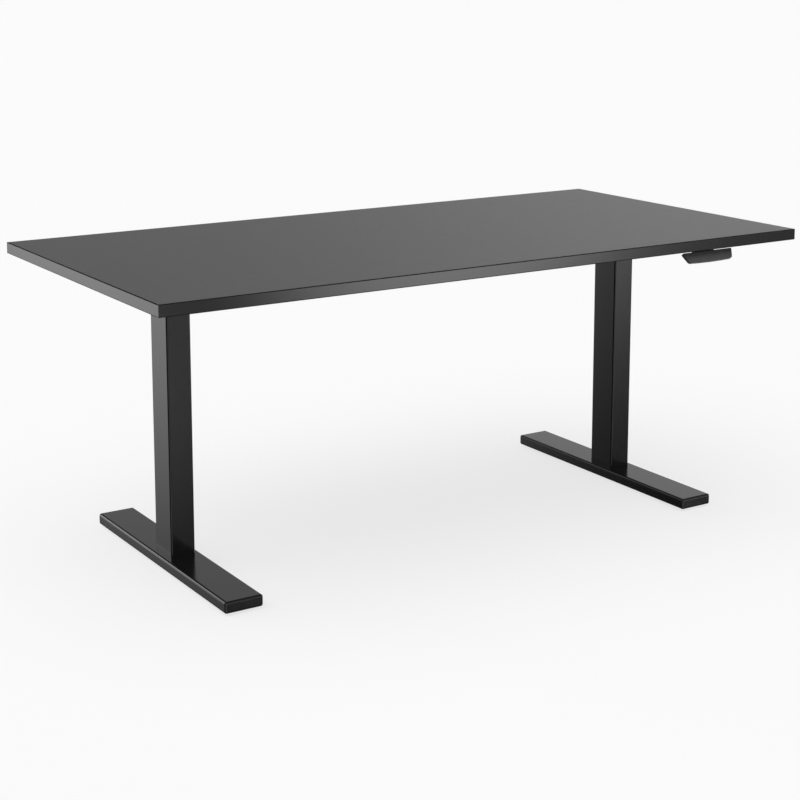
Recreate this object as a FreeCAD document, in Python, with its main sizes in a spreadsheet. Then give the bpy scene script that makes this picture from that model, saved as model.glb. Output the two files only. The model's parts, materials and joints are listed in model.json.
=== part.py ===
"""Height adjustable standing desk: two telescopic legs on flat feet carry a steel frame and a laminated top.

Frame: X runs along the width, Y from the front edge to the back edge, Z up. The origin is on the floor
under the middle of the desktop, and the desk stands at its lowest height. Lengths are in millimetres.
"""
import FreeCAD, Part
import math
import os

import Sketcher

# ---------------------------------------------------------------- driving dimensions

SIZES = {
    # desktop: a core board between two thin skins, with a plastic band glued round its edge
    "desk_width": 1600,
    "desk_depth": 800,
    "desk_low": 660,
    "top_thick": 25,
    "skin_thick": 0.8,
    "band_thick": 2,
    "band_round": 1.8,
    # legs: three nested steel tubes each, with two equal strokes
    "leg_offset": 594,
    "outer_wide": 55,
    "outer_deep": 80,
    "tube_wall": 2,
    "tube_round": 4,
    "bore_round": 2,
    "tube_gap": 2,
    "guide_play": 0.3,
    "guide_long": 40,
    "collar_thick": 3,
    "collar_lip": 1,
    "stack_gap": 8,
    "middle_lift": 16,
    "inner_lift": 28,
    "collar_rise": 1,
    "slider_rise": 4,
    # feet
    "foot_long": 640,
    "foot_wide": 85,
    "foot_high": 25,
    "foot_rise": 5,
    "foot_wall": 2.5,
    "foot_round": 5,
    "foot_bore_round": 2.5,
    "cap_thick": 6,
    "cap_round": 4.8,
    "cap_plug": 12,
    "cap_play": 0.1,
    "base_plate": 6,
    "base_bolt_x": 17,
    "base_bolt_y": 28,
    "base_bolt_r": 4,
    "base_bolt_play": 0.2,
    "base_head_r": 6.5,
    "base_head": 8,
    "base_hex_r": 3.2,
    "tool_hole_r": 9,
    "glide_spacing": 560,
    "glide_r": 18,
    "glide_pad": 3.8,
    "glide_ease": 1.2,
    "glide_stud_r": 4,
    "glide_stud_top": 26,
    "insert_r": 5.5,
    "insert_flange_r": 7.5,
    "insert_long": 14,
    "insert_flange": 1,
    "stud_play": 0.08,
    # frame under the desktop
    "arm_long": 660,
    "arm_wide": 50,
    "arm_high": 21,
    "arm_taper": 110,
    "arm_end": 7,
    "sheet_wall": 2.5,
    "lip_wide": 17,
    "lip_screw_near": 120,
    "lip_screw_far": 270,
    "rail_long": 1290,
    "rail_wide": 25,
    "rail_high": 45,
    "rail_wall": 2,
    "rail_offset": 62.5,
    "rail_round": 3,
    "head_wide": 100,
    "head_deep": 156,
    "head_thick": 4,
    "head_hole_r": 12,
    "head_round": 10,
    "gearbox_bolt_x": 32,
    "gearbox_bolt_y": 20,
    "rail_bolt_x": 35,
    "arm_bolt_x": 12,
    # drive
    "gearbox_wide": 76,
    "gearbox_deep": 70,
    "gearbox_high": 42,
    "gearbox_round": 5,
    "motor_r": 19,
    "motor_long": 105,
    "motor_flange_r": 20.5,
    "motor_flange": 4,
    "motor_cap": 12,
    "motor_step": 0.8,
    "motor_end_ease": 2,
    "motor_shaft_r": 6,
    "screw_r": 10,
    "screw_bore_r": 7.5,
    "screw_seat": 16,
    "screw_lift": 10,
    "sleeve_r": 7.2,
    "sleeve_bore_r": 5.5,
    "sleeve_thread_r": 5.08,
    "sleeve_thread": 25,
    "sleeve_flange_r": 12,
    "sleeve_flange": 5.8,
    "sleeve_long": 305,
    "sleeve_drop": 6,
    "rod_r": 5,
    "rod_long": 300,
    "nut_r": 15,
    "nut_long": 25,
    "nut_tube_r": 14,
    "nut_tube_bore_r": 12,
    "nut_tube_long": 272,
    "nut_plate": 4,
    "running_play": 0.08,
    # fasteners
    "bolt_r": 3,
    "bolt_head_r": 5,
    "bolt_head": 3.4,
    "bolt_long": 12,
    "hex_r": 2,
    "hex_share": 0.55,
    "head_ease": 0.6,
    "end_ease": 0.5,
    "hole_play": 0.05,
    "wide_play": 0.4,
    "wood_r": 2.1,
    "wood_head_r": 4.5,
    "wood_head": 2.4,
    "wood_long": 16,
    # control box
    "box_long": 236,
    "box_deep": 92,
    "box_high": 34,
    "box_cover": 2.5,
    "box_round": 4,
    "cover_round": 1,
    "ear_long": 16,
    "ear_step": 10,
    "box_screw_y": 32,
    "socket_deep": 9,
    "socket_wide": 16,
    "socket_high": 11,
    "socket_up": 14,
    "socket_gap": 28,
    "inlet_wide": 27,
    "inlet_high": 19.5,
    "inlet_up": 13.5,
    "vent_wide": 4,
    "vent_long": 40,
    "vent_gap": 10,
    # handset
    "handset_x": 545,
    "paddle_wide": 146,
    "paddle_narrow": 126,
    "paddle_slope": 25.9,
    "paddle_thick": 8,
    "paddle_lean": 53,
    "paddle_bow": 1.6,
    "paddle_corner": 7,
    "paddle_top_corner": 2.3,
    "paddle_edge": 1.2,
    "paddle_drop": 4,
    "boss_r": 6,
    "boss_wide": 24,
    "pin_r": 2,
    "pin_back": 34,
    "pin_drop": 22,
    "web_wide": 20,
    "web_front": 27,
    "web_low": 4,
    "web_high": 5,
    "tail_back": 22,
    "tail_high": 10,
    "tail_long": 8,
    "cheek_thick": 4,
    "cheek_play": 0.3,
    "cheek_nose": 4,
    "cheek_side": 8,
    "cheek_low": 7,
    "cheek_back": 16,
    "bracket_wide": 56,
    "bracket_deep": 42,
    "bracket_front": 25,
    "bracket_lip": 11,
    "bracket_wall": 3,
    "handset_screw_x": 20,
    "handset_screw_back": 60,
    "board_wide": 22,
    "board_deep": 14,
    "board_thick": 1.6,
    "board_back": 12,
    "switch_wide": 6,
    "switch_high": 5,
    "switch_gap": 4,
    # general: how far a cut reaches past a face, and the bevel on turned ends
    "past": 1,
    "bevel": 1,
}

doc = FreeCAD.newDocument("standing_desk")
sheet = doc.addObject("Spreadsheet::Sheet", "Sizes")
for row, (alias, number) in enumerate(SIZES.items(), start=1):
    sheet.set(f"A{row}", alias)
    sheet.set(f"B{row}", str(number))
    sheet.setAlias(f"B{row}", alias)
doc.recompute()

# Heights that several pieces share, each an expression of the sheet's cells.
TOP_UNDER = "(Sizes.desk_low - Sizes.top_thick)"
ARM_UNDER = f"({TOP_UNDER} - Sizes.arm_high)"
RAIL_UNDER = f"({ARM_UNDER} - Sizes.rail_high)"
HEAD_UNDER = f"({RAIL_UNDER} - Sizes.head_thick)"
FOOT_TOP = "(Sizes.foot_rise + Sizes.foot_high)"
OUTER_TOP = f"({HEAD_UNDER} - Sizes.stack_gap)"
MIDDLE_TOP = f"({OUTER_TOP} + Sizes.collar_thick + Sizes.collar_rise)"
MIDDLE_UNDER = f"({FOOT_TOP} + Sizes.middle_lift)"
INNER_UNDER = f"({FOOT_TOP} + Sizes.inner_lift)"
NUT_TOP = f"({MIDDLE_UNDER} + Sizes.nut_plate + Sizes.nut_tube_long + Sizes.nut_long)"

# Cross sections of the three tubes: each is smaller than the one round it by the wall and the sliding gap.
TUBE_STEP = "(2 * (Sizes.tube_wall + Sizes.tube_gap))"
OUTER_SIZE = ("Sizes.outer_wide", "Sizes.outer_deep")
MIDDLE_SIZE = (f"(Sizes.outer_wide - {TUBE_STEP})", f"(Sizes.outer_deep - {TUBE_STEP})")
INNER_SIZE = (f"(Sizes.outer_wide - 2 * {TUBE_STEP})", f"(Sizes.outer_deep - 2 * {TUBE_STEP})")

# How deep a drill goes to pass through one folded sheet, how near two places are the same place,
# and where the corners of a hexagon are, in degrees.
THROUGH_SHEET = "Sizes.sheet_wall + 2 * Sizes.past"
NEAR = 0.01
HEX_TURNS = range(0, 360, 60)

SIDES = {"left": "-1", "right": "1"}

made = {}
probe = doc.addObject("App::FeaturePython", "Probe")
probe.addProperty("App::PropertyFloat", "Value")


# ---------------------------------------------------------------- helpers

def shrink(size, amount):
    """The two sides of a rectangle, each made smaller by twice the amount."""
    return tuple(f"({side} - 2 * {amount})" for side in size)


def new_body(label):
    """An empty body, registered as the sub-part of that name."""
    body = doc.addObject("PartDesign::Body", label)
    body.Label = label
    made[label] = body
    return body


def place(piece, x="0", y="0", z="0"):
    """Binds the piece's position to three expressions."""
    for axis, expression in (("x", x), ("y", y), ("z", z)):
        piece.setExpression(f"Placement.Base.{axis}", expression)
    return piece


def new_sketch(body, plane, level=None):
    """A sketch on one of the body's own origin planes, moved along the plane's normal by level."""
    sketch = body.newObject("Sketcher::SketchObject", body.Label + "_sketch")
    planes = {feature.Role: feature for feature in body.Origin.OriginFeatures}
    sketch.AttachmentSupport = [(planes[plane], "")]
    sketch.MapMode = "FlatFace"
    if level is not None:
        sketch.setExpression("AttachmentOffset.Base.z", level)
    return sketch


def pin_point(sketch, geometry, end, x, y):
    """Ties one point of the sketch to the place given by two expressions."""
    for kind, expression in (("DistanceX", x), ("DistanceY", y)):
        number = sketch.addConstraint(Sketcher.Constraint(kind, -1, 1, geometry, end, 1.0))
        sketch.setExpression(f"Constraints[{number}]", expression)


def add_outline(sketch, points):
    """A closed outline of straight lines through the points, each a pair of expressions."""
    first = sketch.GeometryCount
    count = len(points)
    turns = [2 * math.pi * number / count for number in range(count)]
    starts = [FreeCAD.Vector(math.cos(turn), math.sin(turn), 0) for turn in turns]
    for number in range(count):
        sketch.addGeometry(Part.LineSegment(starts[number], starts[(number + 1) % count]), False)
    for number in range(count):
        following = first + (number + 1) % count
        sketch.addConstraint(Sketcher.Constraint("Coincident", first + number, 2, following, 1))
    for number, (x, y) in enumerate(points):
        pin_point(sketch, first + number, 1, x, y)


def add_rectangle(sketch, size, centre=("0", "0")):
    """A rectangle of that size about that centre."""
    (wide, high), (x, y) = size, centre
    corners = ((-1, -1), (1, -1), (1, 1), (-1, 1))
    add_outline(sketch, [(f"{x} + {a} * ({wide}) / 2", f"{y} + {b} * ({high}) / 2") for a, b in corners])


def add_circle(sketch, radius, x="0", y="0"):
    """A circle of that radius about that centre."""
    number = sketch.addGeometry(Part.Circle(FreeCAD.Vector(0, 0, 0), FreeCAD.Vector(0, 0, 1), 1.0), False)
    pin_point(sketch, number, 3, x, y)
    limit = sketch.addConstraint(Sketcher.Constraint("Radius", number, 1.0))
    sketch.setExpression(f"Constraints[{limit}]", radius)


def pad(body, sketch, length, symmetric=False):
    """Grows the sketch into a solid along the sketch's normal."""
    feature = body.newObject("PartDesign::Pad", body.Label + "_pad")
    feature.Profile = sketch
    feature.setExpression("Length", length)
    if symmetric:
        feature.SideType = "Symmetric"
    doc.recompute()
    return feature


def pocket(body, sketch, length, symmetric=False):
    """Cuts the sketch out of the body along the sketch's normal, and checks that something went."""
    before = body.Shape.Volume
    feature = body.newObject("PartDesign::Pocket", body.Label + "_pocket")
    feature.Profile = sketch
    feature.setExpression("Length", length)
    feature.Reversed = True
    if symmetric:
        feature.SideType = "Symmetric"
    doc.recompute()
    if body.Shape.Volume >= before:
        raise RuntimeError(f"{feature.Label} cuts nothing")
    return feature


def round_edges(body, radius, chosen):
    """Rounds every edge of the body that the test chooses."""
    base = body.Tip
    names = [f"Edge{number}" for number, edge in enumerate(base.Shape.Edges, start=1) if chosen(edge)]
    feature = body.newObject("PartDesign::Fillet", body.Label + "_round")
    feature.Base = (base, names)
    feature.setExpression("Radius", radius)
    doc.recompute()
    return feature


def runs_along(edge, axis):
    """Whether the edge is straight and parallel to the axis, 0 for X, 1 for Y, 2 for Z."""
    if edge.Curve.TypeId != "Part::GeomLine":
        return False
    return abs(abs(edge.Curve.Direction[axis]) - 1) < NEAR


def upright_at(size):
    """A test for the upright edges at the corners of a rectangle about the body's axis."""
    wide, deep = (value_of(side) for side in size)

    def chosen(edge):
        middle = edge.CenterOfMass
        near = abs(abs(middle.x) - wide / 2) < NEAR and abs(abs(middle.y) - deep / 2) < NEAR
        return near and runs_along(edge, 2)

    return chosen


def value_of(expression):
    """The number that an expression of the sheet's cells gives."""
    probe.setExpression("Value", expression)
    probe.recompute()
    return probe.Value


def turned(label, points):
    """A body of revolution about Z: the outline's points are pairs of radius and height."""
    body = new_body(label)
    sketch = new_sketch(body, "XZ_Plane")
    add_outline(sketch, points)
    feature = body.newObject("PartDesign::Revolution", label + "_turn")
    feature.Profile = sketch
    feature.ReferenceAxis = (sketch, ["V_Axis"])
    feature.Angle = 360
    doc.recompute()
    return body


def drill(body, centres, radius, level, depth):
    """Upright round holes that start at the level and go up by the depth."""
    sketch = new_sketch(body, "XY_Plane", level)
    for x, y in centres:
        add_circle(sketch, radius, x, y)
    return pocket(body, sketch, depth)


def box(name, size, corner):
    """A plain block with its lowest corner at that place."""
    piece = doc.addObject("Part::Box", name)
    for side, expression in zip(("Length", "Width", "Height"), size):
        piece.setExpression(side, expression)
    return place(piece, *corner)


def bolts(name, centres, level, head_up, sizes):
    """Screws with a round head and a hexagon socket. level is where the head bears."""
    shank_r, shank_long, head_r, head_high, socket_r = sizes
    points = [
        ("0", f"-{head_high}"),
        (f"{head_r} - Sizes.head_ease", f"-{head_high}"),
        (head_r, f"-{head_high} + Sizes.head_ease"),
        (head_r, "0"),
        (shank_r, "0"),
        (shank_r, f"{shank_long} - Sizes.end_ease"),
        (f"{shank_r} - Sizes.end_ease", shank_long),
        ("0", shank_long),
    ]
    pattern = turned(name + "_pattern", points)
    del made[pattern.Label]
    sketch = new_sketch(pattern, "XY_Plane", f"-{head_high}")
    add_outline(sketch, [(f"{socket_r} * cos({turn})", f"{socket_r} * sin({turn})") for turn in HEX_TURNS])
    pocket(pattern, sketch, f"{head_high} * Sizes.hex_share")
    pieces = []
    for x, y in centres:
        piece = doc.addObject("App::Link", name + "_one")
        piece.LinkedObject = pattern
        if head_up:
            piece.Placement = FreeCAD.Placement(FreeCAD.Vector(), FreeCAD.Rotation(180, 0, 180))
        pieces.append(place(piece, x, y, level))
    return pieces


def group(label, pieces):
    """Separate solids that share one sub-part."""
    whole = doc.addObject("Part::Compound", label)
    whole.Label = label
    whole.Links = pieces
    made[label] = whole
    doc.recompute()
    return whole


def leg_x(side, offset="0"):
    """A place along X, measured from the leg's middle, as an expression."""
    return f"{SIDES[side]} * Sizes.leg_offset + {offset}"


def four_spots(x, y):
    """The corners of a rectangle about the origin, as pairs of expressions."""
    return [(f"{a} * {x}", f"{b} * {y}") for a in (-1, 1) for b in (-1, 1)]


# ---------------------------------------------------------------- feet

def foot_profile(sketch, play=None):
    """The foot's outer outline, or the outline of its bore less some play."""
    size = ("Sizes.foot_wide", "Sizes.foot_high")
    if play is not None:
        size = shrink(size, f"(Sizes.foot_wall + {play})")
    add_rectangle(sketch, size, ("0", "Sizes.foot_high / 2"))


def foot_edge(inset):
    """A test for the long edges of the foot's section that lie that far inside its sides."""
    wide = SIZES["foot_wide"] / 2 - inset

    def chosen(edge):
        return runs_along(edge, 1) and abs(abs(edge.CenterOfMass.x) - wide) < NEAR

    return chosen


BASE_BOLTS = four_spots("Sizes.base_bolt_x", "Sizes.base_bolt_y")
GLIDE_SPOTS = [("0", "-Sizes.glide_spacing / 2"), ("0", "Sizes.glide_spacing / 2")]


def make_foot(side):
    """A flat steel section with bores for the leg's bolts and the levelling glides, closed by two caps."""
    body = new_body(f"{side}_foot")
    sketch = new_sketch(body, "XZ_Plane")
    foot_profile(sketch)
    foot_profile(sketch, "0")
    pad(body, sketch, "Sizes.foot_long - 2 * Sizes.cap_thick", symmetric=True)
    round_edges(body, "Sizes.foot_round", foot_edge(0))
    round_edges(body, "Sizes.foot_bore_round", foot_edge(SIZES["foot_wall"]))
    through = "Sizes.foot_wall + 2 * Sizes.past"
    drill(body, BASE_BOLTS, "Sizes.base_bolt_r + Sizes.base_bolt_play",
          "Sizes.foot_high - Sizes.foot_wall - Sizes.past", through)
    drill(body, BASE_BOLTS, "Sizes.tool_hole_r", "-Sizes.past", through)
    drill(body, GLIDE_SPOTS, "Sizes.insert_r", "-Sizes.past", through)
    place(body, leg_x(side), "0", "Sizes.foot_rise")


def make_foot_caps(side):
    """The two moulded caps that close the ends of one foot."""
    cap = new_body(f"{side}_foot_cap_pattern")
    del made[cap.Label]
    sketch = new_sketch(cap, "XZ_Plane")
    foot_profile(sketch)
    pad(cap, sketch, "Sizes.cap_thick")
    round_edges(cap, "Sizes.foot_round", foot_edge(0))
    front = -SIZES["cap_thick"]
    round_edges(cap, "Sizes.cap_round", lambda edge: abs(edge.CenterOfMass.y - front) < NEAR)
    plug = new_sketch(cap, "XZ_Plane")
    foot_profile(plug, "Sizes.cap_play")
    feature = pad(cap, plug, "Sizes.cap_plug")
    feature.Reversed = True
    doc.recompute()
    round_edges(cap, "Sizes.foot_bore_round", foot_edge(SIZES["foot_wall"] + SIZES["cap_play"]))
    pieces = []
    for turn, sign in ((0, "-"), (180, "")):
        piece = doc.addObject("App::Link", f"{side}_foot_cap")
        piece.LinkedObject = cap
        piece.Placement = FreeCAD.Placement(FreeCAD.Vector(), FreeCAD.Rotation(turn, 0, 0))
        place(piece, leg_x(side), f"{sign}(Sizes.foot_long / 2 - Sizes.cap_thick)", "Sizes.foot_rise")
        pieces.append(piece)
    group(f"{side}_foot_caps", pieces)


def make_glides():
    """Four threaded inserts in the feet, and a levelling glide screwed into each."""
    inserts = []
    ring = turned("glide_insert_pattern", [
        ("Sizes.glide_stud_r + Sizes.stud_play", "-Sizes.insert_flange"),
        ("Sizes.insert_flange_r", "-Sizes.insert_flange"),
        ("Sizes.insert_flange_r", "0"),
        ("Sizes.insert_r", "0"),
        ("Sizes.insert_r", "Sizes.insert_long"),
        ("Sizes.glide_stud_r + Sizes.stud_play", "Sizes.insert_long"),
    ])
    del made[ring.Label]
    for side in SIDES:
        for end, (_, y) in zip(("front", "back"), GLIDE_SPOTS):
            insert = doc.addObject("App::Link", "glide_insert")
            insert.LinkedObject = ring
            inserts.append(place(insert, leg_x(side), y, "Sizes.foot_rise"))
            glide = turned(f"{side}_{end}_glide", [
                ("0", "0"),
                ("Sizes.glide_r - Sizes.glide_ease", "0"),
                ("Sizes.glide_r", "Sizes.glide_ease"),
                ("Sizes.glide_r", "Sizes.glide_pad - Sizes.bevel"),
                ("Sizes.glide_r - Sizes.bevel", "Sizes.glide_pad"),
                ("Sizes.glide_stud_r", "Sizes.glide_pad"),
                ("Sizes.glide_stud_r", "Sizes.glide_stud_top - Sizes.bevel"),
                ("Sizes.glide_stud_r - Sizes.bevel", "Sizes.glide_stud_top"),
                ("0", "Sizes.glide_stud_top"),
            ])
            place(glide, leg_x(side), y, "0")
    group("glide_inserts", inserts)


def make_column_bolts():
    """The bolts that come up through each foot into the leg's base plate."""
    shank = "(Sizes.foot_wall + Sizes.base_plate - Sizes.end_ease)"
    sizes = ("Sizes.base_bolt_r", shank, "Sizes.base_head_r", "Sizes.base_head", "Sizes.base_hex_r")
    pieces = []
    for side in SIDES:
        centres = [(leg_x(side, x), y) for x, y in BASE_BOLTS]
        pieces += bolts("column_bolt_" + side, centres, f"({FOOT_TOP} - Sizes.foot_wall)", False, sizes)
    group("column_bolts", pieces)


# ---------------------------------------------------------------- telescopic legs

def make_tube(label, size, under, top, side):
    """A rectangular steel tube with rounded corners, upright on the leg's axis."""
    body = new_body(label)
    sketch = new_sketch(body, "XY_Plane")
    bore = shrink(size, "Sizes.tube_wall")
    add_rectangle(sketch, size)
    add_rectangle(sketch, bore)
    pad(body, sketch, f"{top} - {under}")
    round_edges(body, "Sizes.tube_round", upright_at(size))
    round_edges(body, "Sizes.bore_round", upright_at(bore))
    return place(body, leg_x(side), "0", under)


def make_ring(label, parts, hole, side, under):
    """A plastic guide: stacked rectangular rings round one hole.

    Each of the parts is an outer size, a corner radius and a height.
    """
    body = new_body(label)
    hole_size, hole_round = hole
    level = "0"
    for size, _, high in parts:
        sketch = new_sketch(body, "XY_Plane", level)
        add_rectangle(sketch, size)
        add_rectangle(sketch, hole_size)
        pad(body, sketch, high)
        level = f"{level} + {high}"
    for size, radius, _ in parts:
        round_edges(body, radius, upright_at(size))
    round_edges(body, hole_round, upright_at(hole_size))
    place(body, leg_x(side), "0", under)


def make_collar(label, outer, slider, top, lip, side):
    """The guide in the top end of a tube, with a flange that covers the tube's cut end."""
    hole = (shrink(slider, "-Sizes.guide_play"), "Sizes.tube_round + Sizes.guide_play")
    parts = [
        (shrink(outer, "Sizes.tube_wall"), "Sizes.bore_round", "Sizes.guide_long"),
        (shrink(outer, f"-{lip}"), f"Sizes.tube_round + {lip}", "Sizes.collar_thick"),
    ]
    make_ring(label, parts, hole, side, f"{top} - Sizes.guide_long")


def make_slider(label, outer, slider, under, side):
    """The guide round the bottom end of a tube, which runs inside the tube outside it."""
    size = shrink(outer, "(Sizes.tube_wall + Sizes.guide_play)")
    parts = [(size, "Sizes.bore_round - Sizes.guide_play", "Sizes.guide_long")]
    make_ring(label, parts, (slider, "Sizes.tube_round"), side, f"{under} + Sizes.slider_rise")


def make_leg(side):
    """The three tubes of one leg with the guides between them."""
    outer = make_tube(f"{side}_outer_tube", OUTER_SIZE, FOOT_TOP, OUTER_TOP, side)
    plate = new_sketch(outer, "XY_Plane")
    add_rectangle(plate, shrink(OUTER_SIZE, "Sizes.tube_wall / 2"))
    pad(outer, plate, "Sizes.base_plate")
    through = "Sizes.base_plate + 2 * Sizes.past"
    drill(outer, BASE_BOLTS, "Sizes.base_bolt_r + Sizes.hole_play", "-Sizes.past", through)
    drill(outer, [("0", "0")], "Sizes.rod_r", "-Sizes.past", through)
    make_collar(f"{side}_outer_collar", OUTER_SIZE, MIDDLE_SIZE, OUTER_TOP, "0", side)
    make_tube(f"{side}_middle_tube", MIDDLE_SIZE, MIDDLE_UNDER, MIDDLE_TOP, side)
    make_collar(f"{side}_middle_collar", MIDDLE_SIZE, INNER_SIZE, MIDDLE_TOP, "Sizes.collar_lip", side)
    make_slider(f"{side}_middle_guide", OUTER_SIZE, MIDDLE_SIZE, MIDDLE_UNDER, side)
    make_tube(f"{side}_inner_tube", INNER_SIZE, INNER_UNDER, HEAD_UNDER, side)
    make_slider(f"{side}_inner_guide", MIDDLE_SIZE, INNER_SIZE, INNER_UNDER, side)


# ---------------------------------------------------------------- screw drive inside each leg

def make_drive(side):
    """A hollow screw turned by the gearbox, its nut on the middle tube, and the sleeve that it turns.

    The hollow screw lifts the inner tube out of the middle one. The sleeve slides in the screw's bore,
    turns with it and runs on the fixed rod of the foot, which lifts the middle tube at the same time.
    """
    x = leg_x(side)
    screw_long = f"({RAIL_UNDER} + Sizes.screw_seat - {MIDDLE_UNDER} - Sizes.screw_lift)"
    screw = turned(f"{side}_drive_screw", [
        ("Sizes.screw_bore_r", "0"),
        ("Sizes.screw_r - Sizes.bevel", "0"),
        ("Sizes.screw_r", "Sizes.bevel"),
        ("Sizes.screw_r", screw_long),
        ("Sizes.screw_bore_r", screw_long),
    ])
    place(screw, x, "0", f"{MIDDLE_UNDER} + Sizes.screw_lift")
    nut = turned(f"{side}_drive_nut", [
        ("Sizes.screw_r + Sizes.running_play", "0"),
        ("Sizes.nut_r", "0"),
        ("Sizes.nut_r", "Sizes.nut_long - Sizes.bevel"),
        ("Sizes.nut_r - Sizes.bevel", "Sizes.nut_long"),
        ("Sizes.screw_r + Sizes.running_play", "Sizes.nut_long"),
    ])
    place(nut, x, "0", f"{NUT_TOP} - Sizes.nut_long")
    holder = new_body(f"{side}_nut_tube")
    plate = new_sketch(holder, "XY_Plane")
    plate_size = shrink(MIDDLE_SIZE, "Sizes.tube_wall")
    add_rectangle(plate, plate_size)
    pad(holder, plate, "Sizes.nut_plate")
    round_edges(holder, "Sizes.bore_round", upright_at(plate_size))
    stem = new_sketch(holder, "XY_Plane", "Sizes.nut_plate")
    add_circle(stem, "Sizes.nut_tube_r")
    add_circle(stem, "Sizes.nut_tube_bore_r")
    pad(holder, stem, "Sizes.nut_tube_long")
    drill(holder, [("0", "0")], "Sizes.sleeve_r + Sizes.running_play", "-Sizes.past",
          "Sizes.nut_plate + 2 * Sizes.past")
    place(holder, x, "0", MIDDLE_UNDER)
    sleeve = turned(f"{side}_nut_sleeve", [
        ("Sizes.sleeve_thread_r", "0"),
        ("Sizes.sleeve_flange_r", "0"),
        ("Sizes.sleeve_flange_r", "Sizes.sleeve_flange"),
        ("Sizes.sleeve_r", "Sizes.sleeve_flange"),
        ("Sizes.sleeve_r", "Sizes.sleeve_long"),
        ("Sizes.sleeve_bore_r", "Sizes.sleeve_long"),
        ("Sizes.sleeve_bore_r", "Sizes.sleeve_thread"),
        ("Sizes.sleeve_thread_r", "Sizes.sleeve_thread"),
    ])
    place(sleeve, x, "0", f"{MIDDLE_UNDER} - Sizes.sleeve_drop")
    rod = turned(f"{side}_fixed_rod", [
        ("0", "0"),
        ("Sizes.rod_r", "0"),
        ("Sizes.rod_r", "Sizes.rod_long - Sizes.bevel"),
        ("Sizes.rod_r - Sizes.bevel", "Sizes.rod_long"),
        ("0", "Sizes.rod_long"),
    ])
    place(rod, x, "0", FOOT_TOP)


# ---------------------------------------------------------------- gearboxes and motors

GEARBOX_BOLTS = four_spots("Sizes.gearbox_bolt_x", "Sizes.gearbox_bolt_y")
RAIL_BOLTS = four_spots("Sizes.rail_bolt_x", "Sizes.rail_offset")
ARM_BOLTS = four_spots("Sizes.arm_bolt_x", "Sizes.rail_offset")


def make_head(side):
    """The steel plate on top of a leg, under the rails and the gearbox."""
    body = new_body(f"{side}_head_plate")
    sketch = new_sketch(body, "XY_Plane")
    size = ("Sizes.head_wide", "Sizes.head_deep")
    add_rectangle(sketch, size)
    add_circle(sketch, "Sizes.head_hole_r")
    for x, y in GEARBOX_BOLTS + RAIL_BOLTS:
        add_circle(sketch, "Sizes.bolt_r + Sizes.hole_play", x, y)
    pad(body, sketch, "Sizes.head_thick")
    round_edges(body, "Sizes.head_round", upright_at(size))
    place(body, leg_x(side), "0", HEAD_UNDER)


def make_gearbox(side):
    """The worm gear's housing on the head plate, bored from below for the screw."""
    body = new_body(f"{side}_gearbox")
    size = ("Sizes.gearbox_wide", "Sizes.gearbox_deep")
    sketch = new_sketch(body, "XY_Plane")
    add_rectangle(sketch, size)
    pad(body, sketch, "Sizes.gearbox_high")
    round_edges(body, "Sizes.gearbox_round", upright_at(size))
    high = SIZES["gearbox_high"]
    round_edges(body, "Sizes.gearbox_round / 2", lambda edge: abs(edge.CenterOfMass.z - high) < NEAR)
    drill(body, [("0", "0")], "Sizes.screw_r + Sizes.running_play", "0", "Sizes.screw_seat + Sizes.past")
    drill(body, GEARBOX_BOLTS, "Sizes.bolt_r + Sizes.hole_play", "0", "Sizes.bolt_long")
    place(body, leg_x(side), "0", RAIL_UNDER)


def make_motor(side):
    """A round motor, lying along the rails, with its flange on the gearbox."""
    body = turned(f"{side}_motor", [
        ("0", "0"),
        ("Sizes.motor_flange_r", "0"),
        ("Sizes.motor_flange_r", "Sizes.motor_flange"),
        ("Sizes.motor_r", "Sizes.motor_flange"),
        ("Sizes.motor_r", "Sizes.motor_long - Sizes.motor_cap"),
        ("Sizes.motor_r - Sizes.motor_step", "Sizes.motor_long - Sizes.motor_cap + Sizes.motor_step"),
        ("Sizes.motor_r - Sizes.motor_step", "Sizes.motor_long - Sizes.motor_end_ease"),
        ("Sizes.motor_r - Sizes.motor_step - Sizes.motor_end_ease", "Sizes.motor_long"),
        ("Sizes.motor_shaft_r", "Sizes.motor_long"),
        ("Sizes.motor_shaft_r", "Sizes.motor_long + Sizes.motor_flange"),
        ("0", "Sizes.motor_long + Sizes.motor_flange"),
    ])
    sign = SIDES[side]
    body.Placement = FreeCAD.Placement(
        FreeCAD.Vector(), FreeCAD.Rotation(FreeCAD.Vector(0, 0, 1), FreeCAD.Vector(-int(sign), 0, 0)))
    place(body, f"{sign} * (Sizes.leg_offset - Sizes.gearbox_wide / 2)", "0",
          f"{RAIL_UNDER} + Sizes.gearbox_high / 2")


# ---------------------------------------------------------------- frame under the desktop

LIP_Y = [f"{a} * {reach}" for a in (-1, 1) for reach in ("Sizes.lip_screw_near", "Sizes.lip_screw_far")]
LIP_X = "(Sizes.arm_wide / 2 + Sizes.lip_wide / 2)"
BOX_EAR_X = "(Sizes.box_long / 2 + Sizes.ear_long / 2)"
BOX_SCREWS = four_spots(BOX_EAR_X, "Sizes.box_screw_y")
HANDSET_SCREW_Y = "-Sizes.desk_depth / 2 + Sizes.handset_screw_back"
HANDSET_SCREWS = [(f"Sizes.handset_x + {a} * Sizes.handset_screw_x", HANDSET_SCREW_Y) for a in (-1, 1)]


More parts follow.
